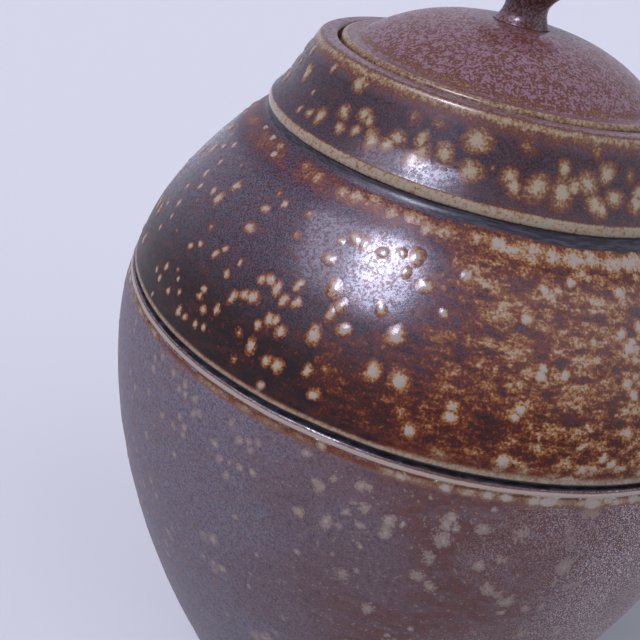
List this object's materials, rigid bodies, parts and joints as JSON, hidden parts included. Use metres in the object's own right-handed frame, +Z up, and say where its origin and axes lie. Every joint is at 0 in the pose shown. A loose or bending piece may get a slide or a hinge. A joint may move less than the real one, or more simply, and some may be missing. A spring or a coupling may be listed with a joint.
{
  "type": "onggi jar",
  "caption": "Lidded stoneware jar with a swelling belly, a cut line above it, a raised ring at the neck and a lift-off lid with a button knob.",
  "frame": {"origin": "centre of the foot's underside, on the surface the jar stands on", "axes": "+Z up along the axis of the jar, the lid and the knob; X and Y across it, alike all round"},
  "size_m": [0.2006, 0.2006, 0.2485],
  "materials": {
    "jar_glaze": "satin iron-brown ash glaze with pale speckles",
    "lid_glaze": "satin iron-brown ash glaze with pale speckles"
  },
  "bodies": {
    "jar": {"jar_body": "jar_glaze"},
    "lid": {"lid": "lid_glaze", "lid_knob": "lid_glaze"}
  },
  "joints": [
    {"name": "lid_lift", "type": "slide", "parent": "jar", "child": "lid", "axis": [0, 0, 1], "range_m": [0, 0.12]}
  ]
}
